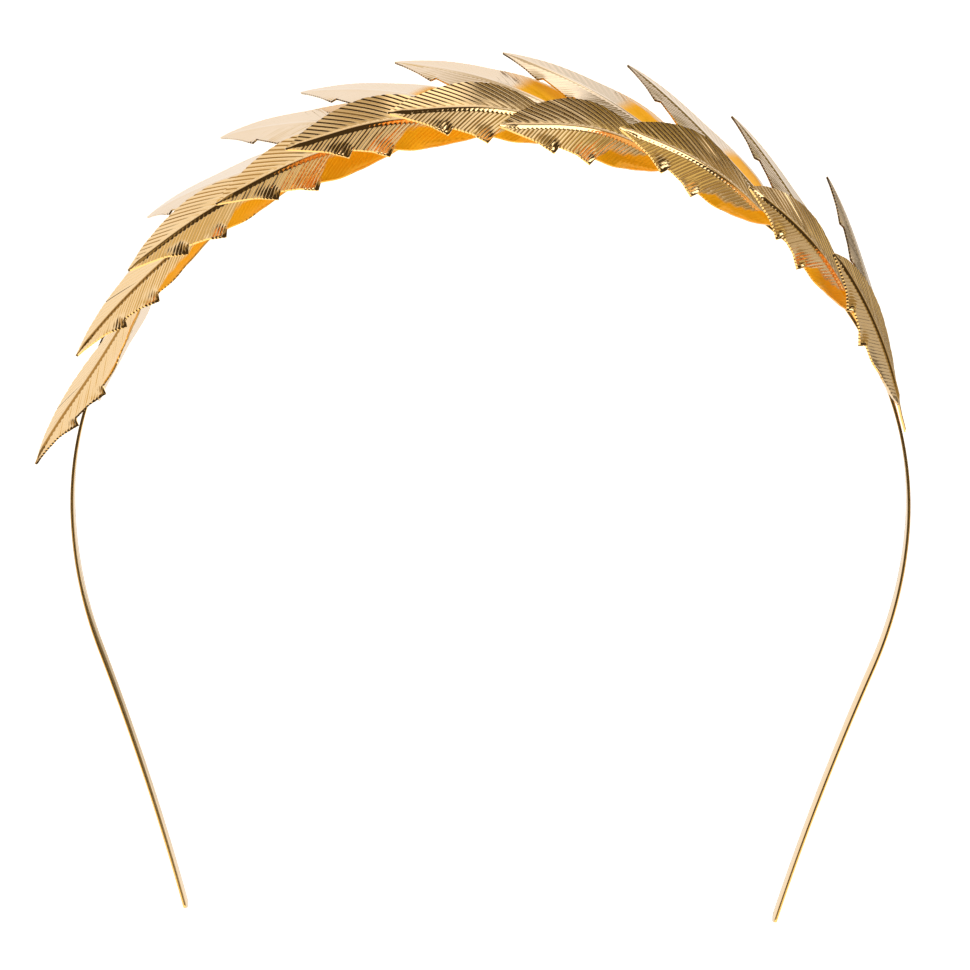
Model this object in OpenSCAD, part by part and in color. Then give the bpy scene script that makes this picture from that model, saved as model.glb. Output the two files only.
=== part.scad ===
// Laurel wreath crown: an open arch of flat metal strip that carries two rows of stamped leaves.
// Millimetres, +Z up. The crown lies on its side, with the plane of the arch level.
// The top of the arch is towards +Y, the open ends of the legs towards -Y.
// The front row leans up, away from what the crown rests on, and the back row leans down.
// All leaves point the same way round the arch, to the left as seen from above.

/* [Band] */
// Width of the arch over its outer faces
arch_w = 141; // [110:1:180]
// Outer radius of the two side arcs, from the widest level down
side_r = 87; // [75:1:110]
// Angle that each side arc turns below the widest level
side_turn = 17.5; // [8:0.5:24]
// Radius at which each leg bends back outwards
leg_r = 610; // [300:10:1500]
// Length of each leg below its side arc
leg_len = 54; // [20:1:80]
// Width of the strip, along Z
strip_w = 3; // [2.4:0.1:6]
// Thickness of the strip
strip_t = 0.55; // [0.4:0.05:1.5]

/* [Leaf] */
// Length of a leaf from the end of its stem to its tip
leaf_len = 40; // [34:0.5:44]
// Widest half of the blade below the midrib, on the notched side
low_w = 6.6; // [5:0.1:8]
// Widest half of the blade above the midrib, on the smooth side
high_w = 6.9; // [4:0.1:8]
// Thickness of the sheet
sheet_t = 0.4; // [0.25:0.05:0.6]
// Angle that each half of the blade falls away from the midrib
fold = 5; // [0:0.5:12]
// Width of the raised midrib
rib_w = 1.2; // [0.6:0.1:2]
// Height of the raised midrib above the blade
rib_h = 0.35; // [0:0.05:0.5]
// How far the notched edge bends: down at the end of each lobe, up along the belly
bend = 0.8; // [0:0.05:1]
// Share of that bend which the leaves of the back row have
back_bend = 0.3; // [0:0.05:1]
// Width of the stem
stem_w = 1.3; // [1:0.05:1.4]
// Length of the stem before the blade opens
stem_len = 6.4; // [4:0.1:8]

/* [Fit] */
// Gap between a stem and the band that it is seated on
seat_gap = 0.15; // [0.1:0.01:0.3]
// Gap between the two rows of stems, across the band
row_gap = 0.2; // [0.1:0.05:0.3]

/* [Hidden] */
gold = [0.93, 0.76, 0.42];

// Leaves of the front row, from the left leg round to the right leg.
// Columns: place of the stem's end in degrees round the arch from its top, positive to the left,
// then as shares of leaf_len the splay of the tip away from the band along Z, the flare of the tip
// outwards and the bow of the leaf's middle outwards, and the lean of the blade in degrees
TURN = 0;
SPLAY = 1;
FLARE = 2;
BOW = 3;
LEAN = 4;
front_row = [
    [ 48.4, 0.575, 0.115, -0.030,  9],
    [ 32.5, 0.488, 0.130,  0.000, 11],
    [ 20.3, 0.513, 0.180,  0.015, 15],
    [  6.5, 0.475, 0.160,  0.023, 19],
    [ -3.7, 0.438, 0.220,  0.040, 21],
    [-15.4, 0.450, 0.250,  0.040, 18],
    [-26.8, 0.525, 0.190,  0.045, 19],
    [-42.3, 0.413, 0.205,  0.020, 22],
    [-58.9, 0.413, 0.180,  0.013, 18],
    [-74.4, 0.313, 0.145, -0.005, 16]
];

// Leaves of the back row in the same order and with the same columns
back_row = [
    [ 53.3, -0.513, -0.057, -0.030, -26],
    [ 37.8, -0.400,  0.030,  0.020,  -4],
    [ 24.6, -0.502,  0.076, -0.009,   0],
    [  9.2, -0.470,  0.118, -0.004,   8],
    [ -1.6, -0.515,  0.105,  0.011,   1],
    [-15.3, -0.460,  0.126,  0.016,   8],
    [-28.8, -0.455,  0.129,  0.011,   8],
    [-43.3, -0.510,  0.142, -0.008,   5],
    [-58.5, -0.470,  0.131, -0.010,   6],
    [-72.4, -0.497,  0.171, -0.010,   7]
];

// Outline and form of a blade, from the tip to where the stem begins.
// Columns: share of the blade's length from the tip, shares of low_w and high_w in the front row, the same
// in the back row, and share of bend, negative where the edge bends down. The lower edge steps inwards after
// each of its two lobes. The leaves of the back row are slimmer, and widest nearer the stem.
blade = [
    [0.000, 0.02, 0.02, 0.02, 0.02,  0.0],
    [0.060, 0.18, 0.23, 0.13, 0.17,  0.0],
    [0.140, 0.42, 0.49, 0.30, 0.32,  0.0],
    [0.200, 0.62, 0.62, 0.44, 0.41, -0.5],
    [0.235, 0.71, 0.70, 0.51, 0.45, -1.0],
    [0.255, 0.62, 0.74, 0.43, 0.47,  0.0],
    [0.330, 0.80, 0.86, 0.58, 0.53,  0.0],
    [0.380, 0.91, 0.92, 0.66, 0.57, -0.5],
    [0.420, 0.96, 0.96, 0.71, 0.60, -1.0],
    [0.440, 0.87, 0.98, 0.63, 0.62,  0.0],
    [0.530, 0.99, 0.98, 0.76, 0.76,  0.4],
    [0.640, 0.95, 0.86, 0.80, 0.92,  1.0],
    [0.745, 0.78, 0.63, 0.74, 0.96,  1.0],
    [0.830, 0.59, 0.45, 0.58, 0.86,  0.6],
    [0.920, 0.34, 0.28, 0.34, 0.56,  0.1]
];
AT = 0;
LOW = 1;
HIGH = 2;
BACK_LOW = 3;
BACK_HIGH = 4;
BEND = 5;

// Columns of points across a blade, as shares of the half width on their side.
// The two points beside the middle one stand at the foot of the midrib.
across_high = [-1, -0.5];
across_low = [0.45, 0.8, 1];

// A point's place across the width past which the notched edge bends
bend_from = 0.55;
// Share of a narrow blade's half width that the midrib may take up
rib_share = 0.35;
// Share of a leaf's length over which the blade turns from the band's face to its full lean
lean_over = 0.35;
// Power of the curve in which a leaf leaves the band
rise_power = 1.25;
// Share of a leaf's length over which its slope is measured
slope_step = 0.01;
// Radius of a leg's end as a share of the strip's width, over a half so that it meets both edges
end_share = 0.6;
// Largest angle between two points of the strip's outline, and the least number of steps along a leg
strip_step = 3;
leg_steps = 6;

half_w = arch_w / 2;
side_x = half_w - side_r;
end_x = side_x + side_r * cos(side_turn);
end_y = -side_r * sin(side_turn);
leg_turn = leg_len / leg_r * 180 / PI;
tip_turn = leg_turn - side_turn;
stem_share = stem_len / leaf_len;
row_z = (stem_w + row_gap) / 2;
end_r = end_share * strip_w;

// Place on the outer face of the arch and the angle of its normal, at a length along the arch from its top.
// The top is a half circle, and the side arcs carry on below it.
function arch_at(q) =
    let (top = half_w * PI / 2, s = sign(q), past = max(abs(q) - top, 0))
    past == 0
        ? let (a = 90 + q / half_w * 180 / PI) [half_w * cos(a), half_w * sin(a), a]
        : let (a = past / side_r * 180 / PI)
          [-s * (side_x + side_r * cos(a)), -side_r * sin(a), 90 + s * (90 + a)];

function unit(v) = v / norm(v);
function smooth(x) = let (c = min(max(x, 0), 1)) c * c * (3 - 2 * c);

// How far a leaf stands off the band: the stem lies flat for half its length, and then the leaf rises.
// The bow is nothing at both ends and whole in the middle.
function past_stem(u) = max(u - stem_share / 2, 0) / (1 - stem_share / 2);
function bulge(v) = 16 * pow(v * (1 - v), 2);
function lift(leaf, u) =
    let (v = past_stem(u)) leaf_len * (leaf[FLARE] * pow(v, rise_power) + leaf[BOW] * bulge(v));

// How far a half of the blade has fallen at a distance from the midrib. It is flat as far as the stem's edge.
function fall(y) = -max(abs(y) - stem_w / 2, 0) * tan(fold);

// Points across one station of a leaf: [across, height] for its outer face. Bent is how far the low edge
// stands above where it would lie unbent.
function section(low, high, bent) =
    let (rib = min(rib_w / 2, rib_share * low, rib_share * high))
    [
        for (y = across_high) [y * high, fall(y * high)],
        [-rib, 0],
        [0, rib_h * min(1, 2 * rib / rib_w)],
        [rib, 0],
        for (y = across_low)
            [y * low, fall(y * low) + bent * pow(max(y - bend_from, 0) / (1 - bend_from), 2)]
    ];

// Stations from the tip to the stem's end: [share of the leaf's length from the stem's end, section].
// The lobes and belly of the back row bend less.
function stations(front) =
    let (
        low_column = front ? LOW : BACK_LOW,
        high_column = front ? HIGH : BACK_HIGH,
        edge_bend = front ? bend : bend * back_bend
    )
    [
        for (b = blade)
            [1 - b[AT] * (1 - stem_share),
             section(b[low_column] * low_w, b[high_column] * high_w, b[BEND] * edge_bend)],
        [stem_share, section(stem_w / 2, stem_w / 2, 0)],
        [stem_share / 2, section(stem_w / 2, stem_w / 2, 0)],
        [0, section(stem_w / 2, stem_w / 2, 0)]
    ];

// Frame of a leaf at a share u of its length: [middle, across, normal].
function leaf_frame(leaf, seat_z, u) =
    let (
        splay = leaf[SPLAY] * leaf_len,
        run = leaf_len * sqrt(1 - pow(leaf[SPLAY], 2) - pow(leaf[FLARE], 2)),
        at = arch_at(leaf[TURN] * PI / 180 * half_w + run * u),
        out = [cos(at[2]), sin(at[2]), 0],
        along = [-sin(at[2]), cos(at[2]), 0],
        up = [0, 0, 1],
        off = seat_gap + sheet_t / 2 + lift(leaf, u),
        slope = (lift(leaf, u + slope_step) - lift(leaf, u - slope_step)) / (2 * slope_step),
        heading = unit(along * run + out * slope + up * splay),
        lean = leaf[LEAN] * smooth(u / lean_over),
        side = up * cos(lean) - out * sin(lean),
        across = unit(side - heading * (side * heading))
    )
    [[at[0], at[1], 0] + out * off + up * (seat_z + splay * u), across, cross(heading, across)];

// One face of a leaf's sheet as rows of points, half the sheet's thickness above or below its middle.
// A leaf of the back row is seated below the middle of the band.
function leaf_face(leaf, seat_z, level) =
    [
        for (st = stations(seat_z > 0))
            let (f = leaf_frame(leaf, seat_z, st[0]))
            [for (p = st[1]) f[0] + f[1] * p[0] + f[2] * (p[1] + level)]
    ];

function flat(rows) = [for (r = rows) each r];

// The strip's outer face from the top of the arch down the right leg: [x, y, angle of the normal].
// It is a quarter circle, then the side arc, then the leg, which bends back about a centre outside the arch.
top_steps = ceil(90 / strip_step);
side_steps = ceil(side_turn / strip_step);
right_path = [
    for (i = [0 : top_steps]) let (a = 90 - 90 * i / top_steps) [half_w * cos(a), half_w * sin(a), a],
    for (i = [1 : side_steps])
        let (a = -side_turn * i / side_steps) [side_x + side_r * cos(a), side_r * sin(a), a],
    for (i = [1 : leg_steps])
        let (a = -side_turn + leg_turn * i / leg_steps)
        [end_x + leg_r * (cos(side_turn) - cos(a)), end_y - leg_r * (sin(side_turn) + sin(a)), a]
];
last = len(right_path) - 1;
strip_path = [
    for (i = [last : -1 : 1]) let (p = right_path[i]) [-p[0], p[1], 180 - p[2]],
    each right_path
];
leg_tip = right_path[last];

front_z = row_z;
back_z = -row_z;
all_points = concat(
    [for (leaf = front_row) each flat(leaf_face(leaf, front_z, sheet_t / 2))],
    [for (leaf = back_row) each flat(leaf_face(leaf, back_z, sheet_t / 2))],
    [for (leaf = back_row) each flat(leaf_face(leaf, back_z, -sheet_t / 2))],
    [for (p = strip_path) [p[0], p[1], 0]]
);
xs = [for (p = all_points) p[0]];
ys = [for (p = all_points) p[1]];
zs = [for (p = all_points) p[2]];
rest = [-(min(xs) + max(xs)) / 2, -(min(ys) + max(ys)) / 2, -min(zs)];

// A closed sheet between two faces of points that have the same rows and columns.
module sheet(top, bottom) {
    rows = len(top);
    cols = len(top[0]);
    n = rows * cols;
    faces = [
        for (i = [0 : rows - 2], j = [0 : cols - 2])
            let (a = i * cols + j, b = a + 1, c = a + cols, d = c + 1)
            each [[a, d, b], [a, c, d], [n + a, n + b, n + d], [n + a, n + d, n + c]],
        for (i = [0 : rows - 2])
            let (a = i * cols, c = a + cols, b = a + cols - 1, d = b + cols)
            each [[a, n + c, c], [a, n + a, n + c], [b, d, n + d], [b, n + d, n + b]],
        for (j = [0 : cols - 2])
            let (a = j, b = a + 1, c = (rows - 1) * cols + j, d = c + 1)
            each [[a, n + b, n + a], [a, b, n + b], [c, n + d, d], [c, n + c, n + d]]
    ];
    polyhedron(points = concat(flat(top), flat(bottom)), faces = faces);
}

// One leaf in its place on the arch.
module leaf(place, seat_z) {
    color(gold) translate(rest)
        sheet(leaf_face(place, seat_z, sheet_t / 2), leaf_face(place, seat_z, -sheet_t / 2));
}

// What is cut from the right leg's end to round it.
module end_cutter() {
    translate([leg_tip[0], leg_tip[1], 0]) rotate(tip_turn) rotate([90, 0, 90])
        linear_extrude(4 * strip_t, center = true)
            difference() {
                translate([-strip_w, -strip_w]) square([strip_w + end_r, 2 * strip_w]);
                translate([end_r, 0]) circle(r = end_r, $fn = 96);
            }
}

module band() {
    outer = [for (p = strip_path) [p[0], p[1]]];
    inner = [for (p = strip_path) [p[0] - strip_t * cos(p[2]), p[1] - strip_t * sin(p[2])]];
    count = len(strip_path);
    color(gold) translate(rest)
        difference() {
            linear_extrude(strip_w, center = true)
                polygon(concat(outer, [for (i = [count - 1 : -1 : 0]) inner[i]]));
            end_cutter();
            mirror([1, 0, 0]) end_cutter();
        }
}

module front_leaf_01() leaf(front_row[0], front_z);
module front_leaf_02() leaf(front_row[1], front_z);
module front_leaf_03() leaf(front_row[2], front_z);
module front_leaf_04() leaf(front_row[3], front_z);
module front_leaf_05() leaf(front_row[4], front_z);
module front_leaf_06() leaf(front_row[5], front_z);
module front_leaf_07() leaf(front_row[6], front_z);
module front_leaf_08() leaf(front_row[7], front_z);
module front_leaf_09() leaf(front_row[8], front_z);
module front_leaf_10() leaf(front_row[9], front_z);
module back_leaf_01() leaf(back_row[0], back_z);
module back_leaf_02() leaf(back_row[1], back_z);
module back_leaf_03() leaf(back_row[2], back_z);
module back_leaf_04() leaf(back_row[3], back_z);
module back_leaf_05() leaf(back_row[4], back_z);
module back_leaf_06() leaf(back_row[5], back_z);
module back_leaf_07() leaf(back_row[6], back_z);
module back_leaf_08() leaf(back_row[7], back_z);
module back_leaf_09() leaf(back_row[8], back_z);
module back_leaf_10() leaf(back_row[9], back_z);

band();
front_leaf_01();
front_leaf_02();
front_leaf_03();
front_leaf_04();
front_leaf_05();
front_leaf_06();
front_leaf_07();
front_leaf_08();
front_leaf_09();
front_leaf_10();
back_leaf_01();
back_leaf_02();
back_leaf_03();
back_leaf_04();
back_leaf_05();
back_leaf_06();
back_leaf_07();
back_leaf_08();
back_leaf_09();
back_leaf_10();
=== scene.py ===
# %% [markdown]
# # A laurel wreath crown in polished gold
#
# The real crown is a thin strip of brass bent to an arch, with twenty stamped leaves on it in two rows.
# Each leaf is a feather-like stamping: a raised midrib, fine slanting barbs on both halves, two lobes on
# its lower edge, and a narrow stem on the strip. Everything is plated in one pale gold and polished.
#
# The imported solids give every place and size. This lesson makes finer surfaces over them, all from the
# same few formulas, and then the metal, the floor and the light.

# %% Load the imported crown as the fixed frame
import math
import bpy
import numpy as np
from mathutils import Matrix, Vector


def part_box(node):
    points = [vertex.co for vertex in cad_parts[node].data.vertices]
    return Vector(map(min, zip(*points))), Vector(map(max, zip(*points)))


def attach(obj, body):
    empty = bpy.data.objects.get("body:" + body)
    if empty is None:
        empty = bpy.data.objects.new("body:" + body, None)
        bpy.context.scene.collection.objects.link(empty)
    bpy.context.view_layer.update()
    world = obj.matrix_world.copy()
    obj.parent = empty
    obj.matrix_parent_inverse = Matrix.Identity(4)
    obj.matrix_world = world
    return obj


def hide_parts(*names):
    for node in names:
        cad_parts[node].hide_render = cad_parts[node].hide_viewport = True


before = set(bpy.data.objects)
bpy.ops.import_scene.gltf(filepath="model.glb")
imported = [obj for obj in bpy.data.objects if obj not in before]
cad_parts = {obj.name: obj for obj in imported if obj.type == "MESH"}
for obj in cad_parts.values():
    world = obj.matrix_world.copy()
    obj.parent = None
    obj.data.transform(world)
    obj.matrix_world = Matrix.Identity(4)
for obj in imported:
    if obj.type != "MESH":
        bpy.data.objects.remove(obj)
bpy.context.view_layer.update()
MM = 0.001

# %% [markdown]
# ## The arch
#
# The strip is flat and thin, so its outer face is one curve in plan: a half circle over the top, a side arc
# of larger radius below the widest level, and a leg that bends back outwards. A point on it is found from
# its length along the curve, measured from the top. All leaves are placed by that length, so the curve
# comes first.

# %% Sizes of the strip, in millimetres
ARCH_W = 141.0
SIDE_R = 87.0
SIDE_TURN = math.radians(17.5)
LEG_R = 610.0
LEG_LEN = 54.0
STRIP_W = 3.0
STRIP_T = 0.55
END_R = 0.6 * STRIP_W
HALF_W = ARCH_W / 2
SIDE_X = HALF_W - SIDE_R
TOP_LEN = HALF_W * math.pi / 2
SIDE_LEN = SIDE_R * SIDE_TURN
SIDE_END = np.array([SIDE_X + SIDE_R * math.cos(SIDE_TURN), -SIDE_R * math.sin(SIDE_TURN)])
half_arc = TOP_LEN + SIDE_LEN + LEG_LEN
print("half of the strip is", round(half_arc, 1), "mm long")


# %% The curve of the strip's outer face
def arch_at(q):
    """Place (x, y) and angle of the outward normal at length q from the top, positive to the left.

    Top: a circle of radius HALF_W. Side: a circle of radius SIDE_R about a centre on the X axis, which
    meets the first one at the widest level. Leg: a circle of radius LEG_R about a centre outside."""
    q = np.asarray(q, float)
    side, past = np.sign(q), np.abs(q)
    top = math.pi / 2 - np.minimum(past, TOP_LEN) / HALF_W
    arc = -np.clip(past - TOP_LEN, 0, SIDE_LEN) / SIDE_R
    leg = np.maximum(past - TOP_LEN - SIDE_LEN, 0) / LEG_R
    angle = np.where(past <= TOP_LEN, top, arc + leg)
    x = np.where(past <= TOP_LEN, HALF_W * np.cos(top), SIDE_X + SIDE_R * np.cos(arc))
    y = np.where(past <= TOP_LEN, HALF_W * np.sin(top), SIDE_R * np.sin(arc))
    on_leg = leg > 0
    x = np.where(on_leg, SIDE_END[0] + LEG_R * (math.cos(SIDE_TURN) - np.cos(angle)), x)
    y = np.where(on_leg, SIDE_END[1] - LEG_R * (math.sin(SIDE_TURN) + np.sin(angle)), y)
    mirrored = side > 0
    return np.where(mirrored, -x, x), y, np.where(mirrored, math.pi - angle, angle)


band_low, band_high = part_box("band")
_, tip_y, _ = arch_at(-half_arc)
middle_z = (band_low[2] + band_high[2]) / 2
REST = np.array([band_high[0] / MM - HALF_W, band_low[1] / MM - float(tip_y), middle_z / MM])
print("the arch's centre stands at", REST.round(3), "mm")

# %% [markdown]
# ## Turning a grid of points into a piece
#
# Every surface here is a grid: rows one way, columns the other. One helper writes the grid, its faces and
# its UV map in one go, with `foreach_set`, because a loop over twenty leaves of thousands of points would be
# slow. The UV map holds lengths in millimetres, so a pattern on it has the real scale.


# %% Grid helpers
def grid_faces(rows, cols, first=0, wrap=False):
    """Quads of a grid whose points are numbered row by row. With wrap, the last column joins the first."""
    r, c = np.meshgrid(np.arange(rows - 1), np.arange(cols if wrap else cols - 1), indexing="ij")
    d = (c + 1) % cols
    quad = np.stack([r * cols + c, r * cols + d, (r + 1) * cols + d, (r + 1) * cols + c], -1)
    return quad.reshape(-1, 4) + first


def piece_from(name, points, quads, uv, values):
    """A smooth mesh object at the origin, riding on the crown, from points in mm, quads, UVs per point and
    named values per point."""
    mesh = bpy.data.meshes.new(name)
    mesh.vertices.add(len(points))
    mesh.vertices.foreach_set("co", ((points + REST) * MM).astype(np.float32).ravel())
    mesh.loops.add(quads.size)
    mesh.loops.foreach_set("vertex_index", quads.astype(np.int32).ravel())
    mesh.polygons.add(len(quads))
    mesh.polygons.foreach_set("loop_start", np.arange(0, quads.size, 4, dtype=np.int32))
    mesh.polygons.foreach_set("loop_total", np.full(len(quads), 4, np.int32))
    mesh.update(calc_edges=True)
    layer = mesh.uv_layers.new(name="UVMap")
    layer.data.foreach_set("uv", uv[quads.ravel()].astype(np.float32).ravel())
    for key, value in values.items():
        mesh.attributes.new(key, "FLOAT", "POINT").data.foreach_set("value", value.astype(np.float32))
    mesh.polygons.foreach_set("use_smooth", np.ones(len(quads), bool))
    mesh.validate()
    piece = bpy.data.objects.new(name, mesh)
    bpy.context.scene.collection.objects.link(piece)
    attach(piece, "root")
    return piece


# %% [markdown]
# ## The outline of a leaf
#
# The blade is drawn by its half width on each side of the midrib, at shares of its length from the tip.
# The upper half has a smooth edge. The lower half ends in two lobes: the width steps back after each along
# a barb, as where a feather has split, and the last stretch is the belly. Between steps the outline is a
# smooth curve through the rows of a short table. The back row has widths of its own, because its leaves
# are slimmer and widest nearer the stem.

# %% Sizes of a leaf, in millimetres
LEAF_LEN = 40.0
LOW_W = 6.6
HIGH_W = 6.9
SHEET_T = 0.4
FOLD = math.radians(5.0)
RIB_W = 1.2
RIB_H = 0.38
BEND = 0.8
BACK_BEND = 0.3
BEND_FROM = 0.55
STEM_W = 1.3
STEM_LEN = 6.4
SEAT_GAP = 0.15
ROW_GAP = 0.2
LEAN_OVER = 0.35
RISE_POWER = 1.25
BLADE_LEN = LEAF_LEN - STEM_LEN
STEM_SHARE = STEM_LEN / LEAF_LEN
ROW_Z = (STEM_W + ROW_GAP) / 2
STEM_LOW = 0.5 * STEM_W / LOW_W
STEM_HIGH = 0.5 * STEM_W / HIGH_W

# Share of the blade's length from the tip, shares of the widest low and high halves in the front row,
# the same in the back row, and share of the low edge's full bend: down at a lobe's end, up at the belly.
AT, LOW, HIGH, BACK_LOW, BACK_HIGH, BENT = range(6)
BLADE = np.array([
    (0.000, 0.02, 0.02, 0.02, 0.02, 0.0),
    (0.060, 0.18, 0.23, 0.13, 0.17, 0.0),
    (0.140, 0.42, 0.49, 0.30, 0.32, 0.0),
    (0.200, 0.62, 0.62, 0.44, 0.41, -0.5),
    (0.235, 0.71, 0.70, 0.51, 0.45, -1.0),
    (0.255, 0.62, 0.74, 0.43, 0.47, 0.0),
    (0.330, 0.80, 0.86, 0.58, 0.53, 0.0),
    (0.380, 0.91, 0.92, 0.66, 0.57, -0.5),
    (0.420, 0.96, 0.96, 0.71, 0.60, -1.0),
    (0.440, 0.87, 0.98, 0.63, 0.62, 0.0),
    (0.530, 0.99, 0.98, 0.76, 0.76, 0.4),
    (0.640, 0.95, 0.86, 0.80, 0.92, 1.0),
    (0.745, 0.78, 0.63, 0.74, 0.96, 1.0),
    (0.830, 0.59, 0.45, 0.58, 0.86, 0.6),
    (0.920, 0.34, 0.28, 0.34, 0.56, 0.1),
    (1.000, STEM_LOW, STEM_HIGH, STEM_LOW, STEM_HIGH, 0.0),
])
LOBE_ENDS = (4, 8)


# %% Smooth curve through table rows
def curve_through(xs, ys, x):
    """Cubic through (xs, ys): each stretch is a Hermite curve whose end slopes are those of the chords
    between a point's two neighbours, held to three times the smaller chord so that it never overshoots."""
    step = np.diff(ys) / np.diff(xs)
    slope = np.concatenate([step[:1], (step[:-1] + step[1:]) / 2, step[-1:]])
    least = np.minimum(np.abs(np.concatenate([step[:1], step])), np.abs(np.concatenate([step, step[-1:]])))
    slope = np.sign(slope) * np.minimum(np.abs(slope), 3 * least)
    i = np.clip(np.searchsorted(xs, x) - 1, 0, len(xs) - 2)
    width = xs[i + 1] - xs[i]
    t = np.clip((x - xs[i]) / width, 0, 1)
    return (ys[i] * (1 + 2 * t) * (1 - t) ** 2 + slope[i] * width * t * (1 - t) ** 2
            + ys[i + 1] * t * t * (3 - 2 * t) + slope[i + 1] * width * t * t * (t - 1))


def along_blade(column, d, split):
    """A table column as a smooth function of d, the distance in mm from the tip. With split, the curve is
    broken at the lobes' ends, and the step between is a straight line."""
    xs, ys = BLADE[:, AT] * BLADE_LEN, BLADE[:, column]
    if not split:
        return curve_through(xs, ys, d)
    value = np.interp(d, xs, ys)
    start = 0
    for end in (*LOBE_ENDS, len(xs) - 1):
        part = (d >= xs[start]) & (d <= xs[end])
        value = np.where(part, curve_through(xs[start:end + 1], ys[start:end + 1], d), value)
        start = end + 1
    return value


def low_width(d):
    """Half width below the midrib, with its two stepped lobes, in mm."""
    return LOW_W * along_blade(LOW, d, True)


def high_width(d):
    """Half width above the midrib, one smooth curve, in mm."""
    return HIGH_W * along_blade(HIGH, d, False)


def back_low_width(d):
    """The low half's width in the back row, which is slimmer, in mm."""
    return LOW_W * along_blade(BACK_LOW, d, True)


def back_high_width(d):
    """The high half's width in the back row, where it is widest nearer the stem, in mm."""
    return HIGH_W * along_blade(BACK_HIGH, d, False)


probe = np.linspace(0, BLADE_LEN, 200)
print("widest:", low_width(probe).max().round(2), "below and", high_width(probe).max().round(2), "above, mm")

# %% [markdown]
# ## Barbs: a grid that follows them
#
# The barbs run from the midrib out and towards the tip. If the grid's columns run the same way, each barb
# needs only a few columns, its ridge and groove come out crisp, and its end shows in the outline as a small
# tooth, as on the real stamping. So a column starts at some place on the midrib and ends on the outline,
# where a line at the barb's angle meets it.

# %% Barb sizes and the columns of the grid
BARB_PITCH = 0.78
BARB_ANGLE = math.radians(40)
LOW_DEPTH = 0.10
HIGH_DEPTH = 0.13
STEEP = 0.11
LOW_GENTLE = 0.34
HIGH_GENTLE = 0.52
TOOTH = 0.05
TOOTH_FULL = 3.0
STEM_COLUMNS = 14
STEM_FROM = 0.5
TABLE_STEPS = 1600
PHASES = np.array([0.0, 0.14, 0.27, 0.36, 0.5, 0.64, 0.75, 0.87])


def barb_columns():
    """Where the columns leave the midrib, in mm from the tip, each one's phase within its barb, and the
    number of its barb.

    The phase is 0 on a barb's crest and 0.5 in the groove beside it. On the stem the columns are wider."""
    count = int(BLADE_LEN / BARB_PITCH)
    origin = ((np.arange(count)[:, None] + PHASES) * BARB_PITCH).ravel()
    stem = np.linspace(origin[-1] + STEM_FROM, LEAF_LEN, STEM_COLUMNS)
    start = np.concatenate([origin, stem])
    phase = np.concatenate([np.tile(PHASES, count), np.zeros(len(stem))])
    return start, phase, np.floor(start / BARB_PITCH)


def column_ends(start, width):
    """Distance from the tip at which the column from each start meets the outline: the d that solves
    d + width(d) / tan(BARB_ANGLE) = start, read off a fine table. On the stem the ends close up to the
    starts."""
    d = np.linspace(0, BLADE_LEN, TABLE_STEPS)
    reach = np.maximum.accumulate(d + width(d) / math.tan(BARB_ANGLE))
    end = np.interp(start, reach, d)
    last = reach[-1]
    on_stem = BLADE_LEN + (start - last) * (LEAF_LEN - BLADE_LEN) / (LEAF_LEN - last)
    return np.where(start > last, on_stem, end)


START, PHASE, BARB = barb_columns()
print(len(START), "columns for", int(BLADE_LEN / BARB_PITCH), "barbs a side")

# %% [markdown]
# ## Relief of a leaf
#
# Heights are worked out in the flat, as a die would hold them. Each half falls a little from the midrib, the
# midrib stands up as a sharp roof, and V-shaped grooves part the barbs. The metal bends down at the end of
# each lobe, which is why those ends are dark, and up along the belly. A polished face shows one direction of
# the room, so a groove's slope matters more than its depth: the long side of each V is turned to the dark
# part of the room. On the upper half one groove in two is broad and the other faint.

# %% Sizes of the relief, in millimetres, and shares
RIB_SHARE = 0.35
RIB_CROWN = 0.35
LOW_VARY = 0.2
LOW_WAVE = 1.9
HIGH_VARY = 0.1
HIGH_WAVE = 0.7
HIGH_AT_RIB = 0.3
HIGH_GROWTH = 1.5
FAINT_DEPTH = 0.03
FAINT_END = 1.1
STEM_FADE = 4.0
TIP_FADE = 2.5
print("grooves:", LOW_DEPTH, "mm deep below the midrib and up to", HIGH_DEPTH, "above it")


# %% Height of the sheet
def v_cut(offset, tipward, stemward):
    """A V cut by offset in mm from its bottom, positive stemwards: 1 at the bottom, and 0 from tipward mm on
    one side and stemward mm on the other."""
    return np.clip(1 - np.where(offset < 0, -offset / tipward, offset / stemward), 0, 1)


def groove_lines(share, low_side):
    """Depth of the grooves in mm, by the column's place among the barbs and the share along it.

    Low: one groove a barb, its long side tipwards. High: a broad groove at every second barb, with its long
    side stemwards, which deepens from the midrib out, and a faint one between, which fades towards the
    outline. A slow sine wave from barb to barb varies the depths, as a worn die does."""
    offset = ((PHASE - 0.5) * BARB_PITCH)[:, None]
    barb = BARB[:, None]
    low_wave = 1 - LOW_VARY + LOW_VARY * np.sin(LOW_WAVE * barb)
    low = LOW_DEPTH * low_wave * v_cut(offset, LOW_GENTLE, STEEP)
    pair = offset + (barb % 2) * BARB_PITCH
    high_wave = 1 + HIGH_VARY * np.sin(HIGH_WAVE * (barb - barb % 2))
    broad = HIGH_DEPTH * np.clip(HIGH_AT_RIB + HIGH_GROWTH * share, 0, 1) * high_wave
    faint = FAINT_DEPTH * (barb % 2) * np.clip(FAINT_END - share, 0, 1) * v_cut(offset, STEEP, STEEP)
    return np.where(low_side, low, broad * v_cut(pair, STEEP, HIGH_GENTLE) + faint)


def rib_half(half):
    """Half width of the midrib where the blade's half width is half: RIB_W / 2, but never over RIB_SHARE
    of the blade's own, nor under RIB_SHARE of the stem's."""
    return np.minimum(RIB_W / 2, RIB_SHARE * np.maximum(half, STEM_W / 2))


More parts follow.
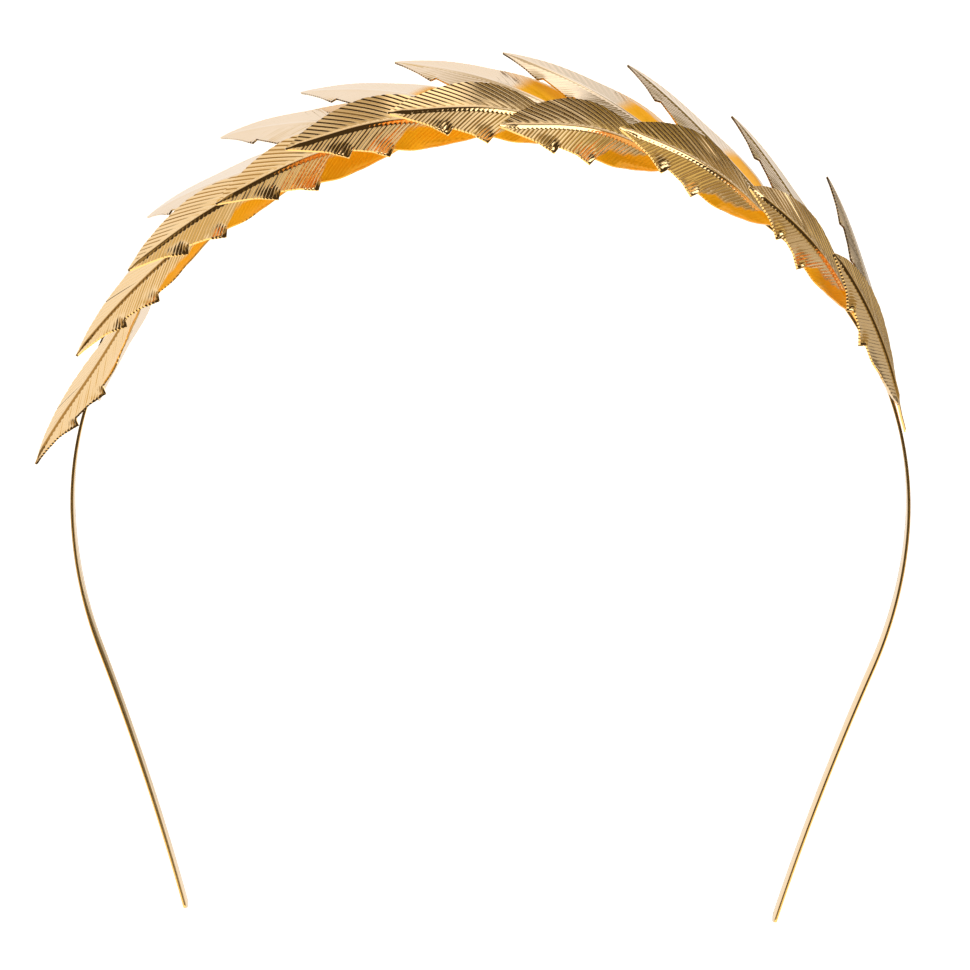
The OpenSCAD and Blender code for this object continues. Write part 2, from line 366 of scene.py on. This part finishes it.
def relief(d, y, share, lines, low_side, bend, rise, half):
    """Height above the flat sheet in mm, at distance d from the tip and y across, for a point at that share
    of its column's length.

    The sum of the midrib's roof, rise high; a fall at the angle FOLD from the stem's edge outwards; less the
    depth of the groove, which is in lines and fades at the midrib, stem and tip; and the low edge's bend,
    which grows with the square of the share past BEND_FROM. Half is the blade's half width there."""
    rib = rib_half(half)
    t = np.clip(np.abs(y) / rib, 0, 1)
    ridge = rise * rib / (RIB_W / 2) * (1 - t) * (1 + RIB_CROWN * t)
    fall = -np.maximum(np.abs(y) - STEM_W / 2, 0) * math.tan(FOLD)
    ends = np.clip((BLADE_LEN - d) / STEM_FADE, 0, 1) * np.clip(d / TIP_FADE, 0, 1)
    fade = np.clip(np.abs(y) / rib - 0.5, 0, 1) * ends
    way = np.where(low_side, along_blade(BENT, np.clip(d, 0, BLADE_LEN), True), 0)
    bent = bend * way * (np.clip(share - BEND_FROM, 0, 1) / (1 - BEND_FROM)) ** 2
    return ridge + fall - lines * fade + bent


# %% Half width in which each column ends, with its tooth
HAIR = 0.01
NARROW = 0.1
MOST_RIB = 0.7
RIB_STEPS = np.array([0, 0.3, 0.65, 1.0])
BLADE_STEPS = np.array([0.06, 0.2, 0.36, 0.52, 0.66, 0.78, 0.87, 0.94, 1.0])


def column_shape(side_width):
    """Grid of (distance from the tip, distance across, share of the column) for one half: straight lines from
    the midrib to the outline, whose ends draw back by TOOTH at each groove. The first points span the rib."""
    end = column_ends(START, side_width)
    half = np.where(end < BLADE_LEN, side_width(np.clip(end, 0, BLADE_LEN)), STEM_W / 2)
    foot = (rib_half(half) / np.maximum(half, HAIR)).clip(0, MOST_RIB)[:, None]
    share = np.hstack([foot * RIB_STEPS, foot + (1 - foot) * BLADE_STEPS])
    cut = v_cut((PHASE - 0.5) * BARB_PITCH, LOW_GENTLE, STEEP)
    tooth = TOOTH * cut * np.clip(half / TOOTH_FULL, 0, 1) * (end < BLADE_LEN)
    reach = 1 - (tooth / np.maximum(half, NARROW))[:, None]
    d = START[:, None] + (end - START)[:, None] * share * reach
    return d, half[:, None] * share * reach, share


print("points across a leaf:", 2 * (len(RIB_STEPS) + len(BLADE_STEPS)) - 1)

# %% [markdown]
# ## Placing a leaf on the arch
#
# A leaf's stem lies on the strip's outer face. From there the leaf runs along the arch, splays away from it
# along Z, flares outwards and leans. The two tables give those moves for each leaf, with lengths as shares
# of the leaf's length. The front row splays up towards the viewer, and the back row down to the floor.

# %% The two rows of leaves
# Degrees round the arch to the stem's end; splay, flare and bow as shares of the leaf's length; and degrees
# of lean.
FRONT_ROW = [
    (48.4, 0.575, 0.115, -0.030, 9), (32.5, 0.488, 0.130, 0.000, 11), (20.3, 0.513, 0.180, 0.015, 15),
    (6.5, 0.475, 0.160, 0.023, 19), (-3.7, 0.438, 0.220, 0.040, 21), (-15.4, 0.450, 0.250, 0.040, 18),
    (-26.8, 0.525, 0.190, 0.045, 19), (-42.3, 0.413, 0.205, 0.020, 22), (-58.9, 0.413, 0.180, 0.013, 18),
    (-74.4, 0.313, 0.145, -0.005, 16),
]
BACK_ROW = [
    (53.3, -0.513, -0.057, -0.030, -26), (37.8, -0.400, 0.030, 0.020, -4), (24.6, -0.502, 0.076, -0.009, 0),
    (9.2, -0.470, 0.118, -0.004, 8), (-1.6, -0.515, 0.105, 0.011, 1), (-15.3, -0.460, 0.126, 0.016, 8),
    (-28.8, -0.455, 0.129, 0.011, 8), (-43.3, -0.510, 0.142, -0.008, 5), (-58.5, -0.470, 0.131, -0.010, 6),
    (-72.4, -0.497, 0.171, -0.010, 7),
]
print(len(FRONT_ROW), "front leaves and", len(BACK_ROW), "back leaves")


# %% A leaf's sheet in space
SLOPE_STEP = 0.01


def lift(flare, bow, u):
    """How far the leaf stands off the strip at share u of its length: flat along half the stem, then a
    power curve to the flare, with a bow that is whole in the middle and nothing at both ends."""
    v = np.maximum(u - STEM_SHARE / 2, 0) / (1 - STEM_SHARE / 2)
    return flare * v ** RISE_POWER + bow * 16 * (v * (1 - v)) ** 2


def unit(v):
    """Vectors at length 1."""
    return v / np.linalg.norm(v, axis=-1, keepdims=True)


def place_leaf(row, seat_z, d, y, height):
    """Points in space of the sheet at distances d from the tip and y across, standing height off its middle.

    The leaf's own frame at share u is its heading, the direction across it and their cross product."""
    turn, splay, flare, bow, lean = row
    splay, flare, bow = (LEAF_LEN * s for s in (splay, flare, bow))
    u = 1 - d / LEAF_LEN
    run = math.sqrt(LEAF_LEN ** 2 - splay ** 2 - flare ** 2)
    x0, y0, angle = arch_at(math.radians(turn) * HALF_W + run * u)
    zero = np.zeros_like(angle)
    out = np.stack([np.cos(angle), np.sin(angle), zero], -1)
    along = np.stack([-np.sin(angle), np.cos(angle), zero], -1)
    up = np.array([0.0, 0.0, 1.0])
    slope = (lift(flare, bow, u + SLOPE_STEP) - lift(flare, bow, u - SLOPE_STEP)) / (2 * SLOPE_STEP)
    heading = unit(along * run + out * slope[..., None] + up * splay)
    eased = np.clip(u / LEAN_OVER, 0, 1)
    tilt = math.radians(lean) * eased * eased * (3 - 2 * eased)
    side = up * np.cos(tilt)[..., None] - out * np.sin(tilt)[..., None]
    across = unit(side - heading * np.sum(side * heading, -1, keepdims=True))
    normal = np.cross(heading, across)
    off = SEAT_GAP + SHEET_T / 2 + lift(flare, bow, u)
    middle = np.stack([x0, y0, zero], -1) + out * off[..., None] + up * (seat_z + splay * u)[..., None]
    return middle + across * y[..., None] + normal * height[..., None]


# %% [markdown]
# ## One closed sheet
#
# The front face of the sheet carries the relief, and the back face follows it one thickness below. The two
# are joined all the way round by a row of faces, so a leaf is closed and has a real edge that catches light.
# The back row is stamped flatter than the front one. Each leaf also keeps, as an attribute, where it lies in
# the pocket under the next one, because light bounced between the leaves is painted there: a deeper orange
# and a little light of its own.


# %% Build one leaf
VISUAL_T = 0.3
CUT_EDGE = math.radians(70)
BACK_GROOVES = 0.3
BACK_RIB = 0.35
GLOW_SMOOTH = 0.5

# Where the pockets lie, in mm from the tip, and in mm how soon they start and how softly they end
BELLY_FROM = 14.5
BELLY_START = 0.8
BELLY_WIDEN = 4.0
BELLY_SOFT = 0.2
SHELTER_FROM = 20.0
SHELTER_START = 2.0
SHELTER_SOFT = 0.3


def glow_share(d, y, low_side, pocket, front):
    """1 where the leaf lies in the pocket under the next one, and 0 outside: the mask of the painted bounce
    light. Front row: the belly's outer strip, as wide as pocket in mm once past the second lobe. Back row:
    the high half near the stem, but for a strip along its edge as wide as pocket in mm."""
    on_blade = np.clip(d, 0, BLADE_LEN)
    past_lobes = d - BELLY_FROM
    inner = low_width(on_blade) - pocket * np.clip(past_lobes / BELLY_WIDEN, 0, 1)
    belly = np.clip((y - inner) / BELLY_SOFT, 0, 1) * np.clip(past_lobes / BELLY_START, 0, 1)
    from_edge = np.clip((back_high_width(on_blade) - pocket + y) / SHELTER_SOFT, 0, 1)
    upper = np.clip((d - SHELTER_FROM) / SHELTER_START, 0, 1) * from_edge * (pocket > 0)
    return np.where(low_side, belly, 0) if front else np.where(low_side, 0, upper)


def make_leaf(name, row, front, pocket):
    """The high half's columns reversed, then the low half's, give one grid from edge to edge. Front and back
    faces of that grid are numbered one after the other and joined round their rim."""
    low, high = (low_width, high_width) if front else (back_low_width, back_high_width)
    d_low, y_low, share_low = column_shape(low)
    d_high, y_high, share_high = column_shape(high)
    d = np.hstack([d_high[:, :0:-1], d_low])
    y = np.hstack([-y_high[:, :0:-1], y_low])
    share = np.hstack([share_high[:, :0:-1], share_low])
    low_side = y >= 0
    # Where the light bounced between leaves is painted on this leaf.
    glow = glow_share(d, y, low_side, pocket, front)
    lines = groove_lines(share, low_side) * (1 - GLOW_SMOOTH * glow) * (1.0 if front else BACK_GROOVES)
    half = np.where(low_side, low(d), high(d))
    bend, rise = (BEND, RIB_H) if front else (BEND * BACK_BEND, RIB_H * BACK_RIB)
    height = SHEET_T / 2 + relief(d, y, share, lines, low_side, bend, rise, half)
    seat_z = ROW_Z if front else -ROW_Z
    faces = [place_leaf(row, seat_z, d, y, h).reshape(-1, 3) for h in (height, height - VISUAL_T)]
    rows, cols = d.shape
    count = rows * cols
    outer = grid_faces(rows, cols)
    inner = grid_faces(rows, cols, count)[:, ::-1]
    rim = np.concatenate([np.arange(cols), np.arange(1, rows) * cols + cols - 1,
                          (rows - 1) * cols + np.arange(cols - 2, -1, -1), np.arange(rows - 2, 0, -1) * cols])
    after = np.roll(rim, -1)
    edge = np.stack([rim, rim + count, after + count, after], -1)
    uv = np.stack([d, y], -1).reshape(-1, 2)
    piece = piece_from(name, np.vstack(faces), np.vstack([outer, inner, edge]), np.vstack([uv, uv]),
                       {"glow": np.concatenate([glow.ravel(), 0 * glow.ravel()])})
    piece.data.set_sharp_from_angle(angle=CUT_EDGE)
    return piece


# Widths in mm, leaf by leaf: of the strip that glows along a front leaf's belly, and of the strip at a back
# leaf's high edge that doesn't. A 0 means that nothing on the leaf glows.
FRONT_POCKETS = (0.8, 3.0, 4.2, 5.6, 5.0, 3.4, 3.4, 2.6, 3.4, 0.0)
BACK_POCKETS = (0.0, 0.0, 0.0, 0.0, 0.5, 0.4, 1.2, 0.8, 0.8, 0.8)

leaves = []
for row_name, row_table, pockets in (("front", FRONT_ROW, FRONT_POCKETS), ("back", BACK_ROW, BACK_POCKETS)):
    for i, (row, pocket) in enumerate(zip(row_table, pockets), 1):
        leaf = make_leaf(f"{row_name}_stamping_{i:02d}", row, row_name == "front", pocket)
        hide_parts(f"{row_name}_leaf_{i:02d}")
        leaves.append(leaf)
print(len(leaves), "leaves of", 2 * len(leaves[0].data.polygons), "triangles each")

# %% [markdown]
# ## The strip
#
# The band is a plain strip with softly worn corners and round ends. Its cross-section, a rectangle with
# small rounded corners, is carried along the curve of the arch, and narrows along a circle at each end.


# %% Build the strip
def strip_section(width, thick, corner, steps=4):
    """A rectangle from -thick to 0 and -width/2 to width/2 whose corners are quarter circles."""
    corner = min(corner, thick / 2, width / 2)
    turn = np.linspace(0, math.pi / 2, steps)
    arcs = [((-corner, width / 2 - corner), 0), ((-thick + corner, width / 2 - corner), 1),
            ((-thick + corner, -width / 2 + corner), 2), ((-corner, -width / 2 + corner), 3)]
    return np.vstack([np.stack([c[0] + corner * np.cos(turn + k * math.pi / 2),
                                c[1] + corner * np.sin(turn + k * math.pi / 2)], -1) for c, k in arcs])


# Lengths in mm from the arch's top between which the strip lies among leaves, the columns along it, and how
# far round its end circle they go
LEAVES_END = (70.0, -110.0)
CORNER = 0.09
END_STEPS = 14
END_SWEEP = 0.32 * math.pi
END_CUT = 0.02
MIDDLE_STEPS = 520
MIDDLE_FROM = 0.4
LEAST_ROUND = 0.01


def make_band():
    """At length q the section's width is that of the strip, or of the circle of radius END_R near an end. Its
    outer face glows where it lies between the two rows of leaves: there the glow attribute paints the light
    bounced between the rows."""
    ends = END_R * (1 - np.cos(np.linspace(0, END_SWEEP, END_STEPS)))
    ends[0] = END_CUT
    middle = np.linspace(-half_arc + ends[-1] + MIDDLE_FROM, half_arc - ends[-1] - MIDDLE_FROM, MIDDLE_STEPS)
    q = np.concatenate([-half_arc + ends, middle, (half_arc - ends)[::-1]])
    x, y, angle = arch_at(q)
    from_end = half_arc - np.abs(q)
    chord = 2 * np.sqrt(np.maximum(END_R ** 2 - (END_R - from_end) ** 2, LEAST_ROUND))
    width = np.minimum(np.where(from_end < END_R, chord, STRIP_W), STRIP_W)
    section = strip_section(STRIP_W, STRIP_T, CORNER)
    off, z = section[:, 0], section[:, 1] / STRIP_W
    px = x[:, None] + np.cos(angle)[:, None] * off
    py = y[:, None] + np.sin(angle)[:, None] * off
    pz = width[:, None] * z
    rows, cols = px.shape
    points = np.stack([px, py, pz], -1).reshape(-1, 3)
    around = np.concatenate([[0], np.cumsum(np.linalg.norm(np.diff(section, axis=0), axis=1))])
    uv = np.stack(np.broadcast_arrays(q[:, None], around), -1).reshape(-1, 2)
    walls = grid_faces(rows, cols, wrap=True)[:, ::-1]
    fan = np.arange(1, cols // 2)
    cap = np.stack([fan - 1, fan, cols - 1 - fan, cols - fan], -1)
    last = (rows - 1) * cols
    quads = np.vstack([walls, cap, cap[:, ::-1] + last])
    # Painted bounce light: the outer face between the rows of leaves gets the glow.
    among = (q < LEAVES_END[0]) & (q > LEAVES_END[1])
    glow = (among[:, None] & (off == 0)).astype(float)
    return piece_from("arch_strip", points, quads, uv, {"glow": glow.ravel()})


strip = make_band()
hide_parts("band")
print("strip:", len(strip.data.polygons), "faces")

# %% [markdown]
# ## Shader maths in Python
#
# A material is a small program. To write it as formulas, a socket is wrapped in a class whose operators add
# the Math nodes. Every other node comes from one method that sets its settings first and then its inputs.


# %% The wrapper and the node maker
class Value:
    """A socket that can be added, multiplied and so on, with numbers or with other values."""

    def __init__(self, maker, socket):
        self.maker, self.socket = maker, socket

    def _math(self, operation, first, second):
        return self.maker.node("ShaderNodeMath", {"operation": operation}, {0: first, 1: second})

    def __add__(self, other):
        return self._math("ADD", self, other)

    def __sub__(self, other):
        return self._math("SUBTRACT", self, other)

    def __rsub__(self, other):
        return self._math("SUBTRACT", other, self)

    def __mul__(self, other):
        return self._math("MULTIPLY", self, other)

    __radd__, __rmul__ = __add__, __mul__


class Finish:
    """The node tree of a material or of a world in the making."""

    def __init__(self, owner, shader="Principled BSDF"):
        owner.use_nodes = True
        self.owner, self.tree = owner, owner.node_tree
        self.shader = self.tree.nodes[shader]

    def put(self, socket, value):
        """A link if the value is a socket, else a plain setting."""
        if isinstance(value, Value):
            self.tree.links.new(value.socket, socket)
        else:
            socket.default_value = value

    def node(self, kind, settings, inputs, output=0):
        """A new node of that kind; returns one of its outputs as a Value."""
        made = self.tree.nodes.new(kind)
        for key, value in settings.items():
            setattr(made, key, value)
        for key, value in inputs.items():
            self.put(made.inputs[key], value)
        return Value(self, made.outputs[output])

    def mix(self, share, first, second):
        """A colour between two, by share."""
        return self.node("ShaderNodeMix", {"data_type": "RGBA"}, {0: share, 6: first, 7: second}, 2)


print("shader helpers ready")

# %% [markdown]
# ## Plated gold
#
# The plating is polished, with the faint cloudiness that a thin stamping keeps. Its colour is a light, warm
# gold. On the back row the same gold is painted paler, for the whiter reflection that those leaves show.
# Where leaves overlap, light bounces many times from gold to gold and turns deep orange. That happens at the
# bellies of the front leaves, on the sheltered part of most back leaves and on the strip between the rows. A
# renderer's few bounces build up only part of it, so the glow attribute paints the rest in: it gives those
# places a deeper tone, lets them scatter light, and adds a little light of their own.


# %% Gold for the leaves and for the strip
CLOUD_SCALE = 260.0
CLOUD_DETAIL = 3.0
CLOUD_LOW = 0.35
CLOUD_TONE = 0.5
CLOUD_ROUGH = 0.06
DULL = (0.95, 0.90, 0.80, 1)


def gold(name, tone, deep, bounce, rough):
    """Metal whose colour goes from tone to deep by the glow attribute, with cloudy roughness; deep is a
    painted tone of light bounced between leaves. Where it glows, the share SCATTER of the light is scattered
    and not mirrored, and bounce is the strength of the painted bounce light that it gives off."""
    made = Finish(bpy.data.materials.new(name))
    place = made.node("ShaderNodeTexCoord", {}, {}, "Object")
    cloud = made.node("ShaderNodeTexNoise", {},
                      {"Vector": place, "Scale": CLOUD_SCALE, "Detail": CLOUD_DETAIL}, "Fac")
    glow = made.node("ShaderNodeAttribute", {"attribute_name": "glow"}, {}, "Fac")
    dull = tuple(t * k for t, k in zip(tone, DULL))
    metal = made.mix((cloud - CLOUD_LOW) * CLOUD_TONE, tone, dull)
    made.put(made.shader.inputs["Base Color"], made.mix(glow, metal, deep))
    made.put(made.shader.inputs["Roughness"], rough + cloud * CLOUD_ROUGH)
    made.put(made.shader.inputs["Metallic"], 1.0 - glow * SCATTER)
    made.put(made.shader.inputs["Specular IOR Level"], 0.0)
    made.put(made.shader.inputs["Emission Color"], made.mix(glow, (0, 0, 0, 1), BOUNCE_TONE))
    made.put(made.shader.inputs["Emission Strength"], bounce)
    return made.owner


# Painted bounce light for the pockets: deep orange tones, and the tone of the light they give off.
FRONT_GLOW = (0.96, 0.43, 0.012, 1)
BACK_GLOW = (0.84, 0.41, 0.004, 1)
BOUNCE_TONE = (1.0, 0.42, 0.006, 1)
SCATTER = 0.7
front_gold = gold("front_leaf_gold", (0.97, 0.70, 0.38, 1), FRONT_GLOW, 0.22, 0.08)
# The back row's gold is the same plating painted paler, for the whiter reflection of those leaves.
back_gold_painted_pale = gold("back_leaf_gold", (0.92, 0.75, 0.57, 1), BACK_GLOW, 0.25, 0.10)
strip_gold = gold("band_gold", (0.95, 0.68, 0.36, 1), FRONT_GLOW, 0.22, 0.08)
for leaf in leaves:
    leaf.data.materials.append(front_gold if leaf.name.startswith("front") else back_gold_painted_pale)
strip.data.materials.append(strip_gold)
print("materials on", len(leaves) + 1, "pieces")

# %% [markdown]
# ## Floor, light and camera
#
# The crown lies on a plain pale floor, on the lower edges of its back leaves, and is seen from above the
# floor, 26 degrees off the axis of the arch. Polished metal shows what is round it, so the light matters
# more than the colour: a bright tent below and round it, a dark ceiling that gives the brown lines, and
# smaller cards, light and dark, each for the few leaves that face it. The floor gives off light of its own,
# so that it stays white, and the metal mirrors the tent instead of it.

# %% Floor
floor_mesh = bpy.data.meshes.new("floor")
FLOOR = 3.0
corners = [(-FLOOR, -FLOOR, 0), (FLOOR, -FLOOR, 0), (FLOOR, FLOOR, 0), (-FLOOR, FLOOR, 0)]
floor_mesh.from_pydata(corners, [], [(0, 1, 2, 3)])
floor = bpy.data.objects.new("floor", floor_mesh)
bpy.context.scene.collection.objects.link(floor)
pale = Finish(bpy.data.materials.new("pale_floor"))
floor_place = pale.node("ShaderNodeTexCoord", {}, {}, "Object")
speck = pale.node("ShaderNodeTexNoise", {}, {"Vector": floor_place, "Scale": 4.0}, "Fac")
pale.put(pale.shader.inputs["Base Color"], pale.mix(speck, (0.86, 0.86, 0.86, 1), (0.88, 0.88, 0.88, 1)))
pale.put(pale.shader.inputs["Roughness"], 0.9)
pale.put(pale.shader.inputs["Emission Color"], (1, 1, 1, 1))
pale.put(pale.shader.inputs["Emission Strength"], 1.0)
floor.data.materials.append(pale.owner)
floor.visible_glossy = False
print("floor:", 2 * FLOOR, "m square")

# %% Camera at the photo's angle
CAMERA_AT = (0.26, 268.66, 560.67)
LOOK = math.radians(26)
ROLL = math.radians(-1.40)
FOCAL = 132.9
SENSOR = 36
forward = np.array([0, -math.sin(LOOK), -math.cos(LOOK)])
up0 = np.array([0, math.cos(LOOK), -math.sin(LOOK)])
right0 = np.array([1.0, 0, 0])
cam_up = up0 * math.cos(ROLL) + right0 * math.sin(ROLL)
cam_right = right0 * math.cos(ROLL) - up0 * math.sin(ROLL)
camera_data = bpy.data.cameras.new("camera")
camera_data.lens, camera_data.sensor_width = FOCAL, SENSOR
camera = bpy.data.objects.new("camera", camera_data)
bpy.context.scene.collection.objects.link(camera)
turned = Matrix([(*row,) for row in np.stack([cam_right, cam_up, -forward], 1)]).to_4x4()
camera.matrix_world = Matrix.Translation([v * MM for v in CAMERA_AT]) @ turned
camera_data.clip_start, camera_data.clip_end = 0.01, 50
bpy.context.scene.camera = camera
handed = float(np.dot(np.cross(cam_right, cam_up), -forward))
print("camera right:", cam_right.round(4), "handed:", round(handed, 3))

# %% Light: a bright tent with soft cards in it
# Each card's edges in degrees, in azimuth from +Y towards +X and in elevation, how softly it ends, and its
# colour. A card whose first azimuth is the larger one runs through the back. Later cards lie over earlier
# ones.
CARDS = [
    ("ceiling", -181, 181, -13, 91, 4, (0.055, 0.038, 0.018)),
    ("front", 126, -138, -6, 57, 2, (1.5, 1.25, 0.75)),
    ("low_middle", -24, 18, -30, -16, 5, (0.62, 0.50, 0.28)),
    ("left_glow", -40, -20, -36, -26, 4, (0.72, 0.52, 0.16)),
    ("left_lines", -62, -20, -12, 8, 3, (0.48, 0.34, 0.16)),
    ("left_lobes", -34, -4, 14, 42, 4, (0.34, 0.25, 0.11)),
    ("middle", -10, 11, -44, -32, 6, (0.50, 0.39, 0.22)),
    ("lamp", 8, 19, -48, -34, 3, (1.5, 1.4, 1.2)),
    ("right_land", 42, 60, -36, -18, 4, (0.72, 0.62, 0.30)),
    ("right_lines", 30, 62, -22, -10, 2.5, (0.20, 0.15, 0.06)),
    ("right_side", 58, 132, -32, -8, 3, (0.33, 0.24, 0.10)),
    ("right_middle", 76, 132, -46, -30, 4, (0.55, 0.49, 0.38)),
    ("right_wall", 23, 80, -50, -35, 2.5, (0.20, 0.14, 0.04)),
    ("far_wall", 85, 130, -59, -46, 1.5, (0.17, 0.14, 0.09)),
    ("far_floor", 20, 100, -68, -57, 2.5, (0.80, 0.78, 0.74)),
    ("far_lines", 102, 152, -68, -59, 2, (0.62, 0.58, 0.52)),
    ("groove_light", 74, 92, -25, -13, 2.5, (0.75, 0.62, 0.30)),
    ("right_window", 53, 84, 1, 24, 3, (2.6, 2.5, 2.2)),
]
TENT = (1.0, 0.97, 0.93)
BACKDROP = (1.0, 1.0, 1.0, 1)


def between(made, angle, low, high, soft):
    """1 where the angle lies between low and high and 0 outside, with a smooth step 2 soft wide at each."""
    if low > high:
        return 1 - between(made, angle, high, low, soft)
    low, high, soft = (math.radians(v) for v in (low, high, soft))
    steps = [made.node("ShaderNodeMapRange", {"interpolation_type": "SMOOTHSTEP"},
                       {"Value": angle, "From Min": edge - soft, "From Max": edge + soft}, "Result")
             for edge in (low, high)]
    return steps[0] * (1 - steps[1])


def make_world():
    """The world's colour by direction: the tent's white, with each card mixed over it by its two angles.
    What the camera sees beyond the floor is a plain backdrop."""
    made = Finish(bpy.data.worlds.new("tent"), "Background")
    direction = made.node("ShaderNodeTexCoord", {}, {}, "Generated")
    x, y, z = (made.node("ShaderNodeSeparateXYZ", {}, {0: direction}, i) for i in range(3))
    azimuth = made.node("ShaderNodeMath", {"operation": "ARCTAN2"}, {0: x, 1: y})
    elevation = made.node("ShaderNodeMath", {"operation": "ARCSINE"}, {0: z})
    colour = (*TENT, 1)
    for _, left, right, bottom, top, soft, tone in CARDS:
        share = between(made, azimuth, left, right, soft) * between(made, elevation, bottom, top, soft)
        colour = made.mix(share, colour, (*tone, 1))
    seen = made.node("ShaderNodeLightPath", {}, {}, "Is Camera Ray")
    made.put(made.shader.inputs["Color"], made.mix(seen, colour, BACKDROP))
    return made.owner


bpy.context.scene.world = make_world()
bpy.context.scene.view_settings.view_transform = "Standard"
print(len(CARDS), "cards in the tent")
